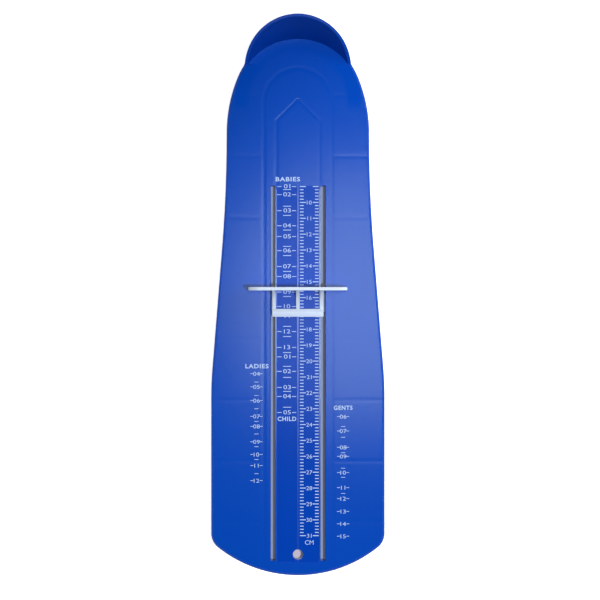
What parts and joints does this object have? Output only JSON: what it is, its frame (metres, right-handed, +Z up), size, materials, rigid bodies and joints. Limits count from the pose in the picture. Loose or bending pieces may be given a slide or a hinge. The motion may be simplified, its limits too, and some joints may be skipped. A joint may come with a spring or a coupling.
{
  "type": "foot measuring device",
  "caption": "Flat plastic foot measuring board with a raised heel cup, a centimetre scale between two slots, and a sliding upright toe stop.",
  "frame": {"origin": "middle of the object's outline, on the surface that the board lies on", "axes": "+Y towards the heel cup, along the board and the slider's travel; +X to the right when the scale is read with the heel cup away from the reader; +Z up out of the board's top face"},
  "size_m": [0.1094, 0.349, 0.046],
  "materials": {
    "board_plastic": "semi-gloss moulded blue",
    "slider_plastic": "semi-gloss moulded white",
    "retainer_plastic": "satin moulded white"
  },
  "bodies": {
    "base": {"board": "board_plastic"},
    "slide": {"toe_slider": "slider_plastic", "slider_retainer": "retainer_plastic"}
  },
  "joints": [
    {"name": "toe_slide", "type": "slide", "parent": "base", "child": "slide", "axis": [0, 1, 0], "range_m": [-0.1565, 0.0635]}
  ]
}
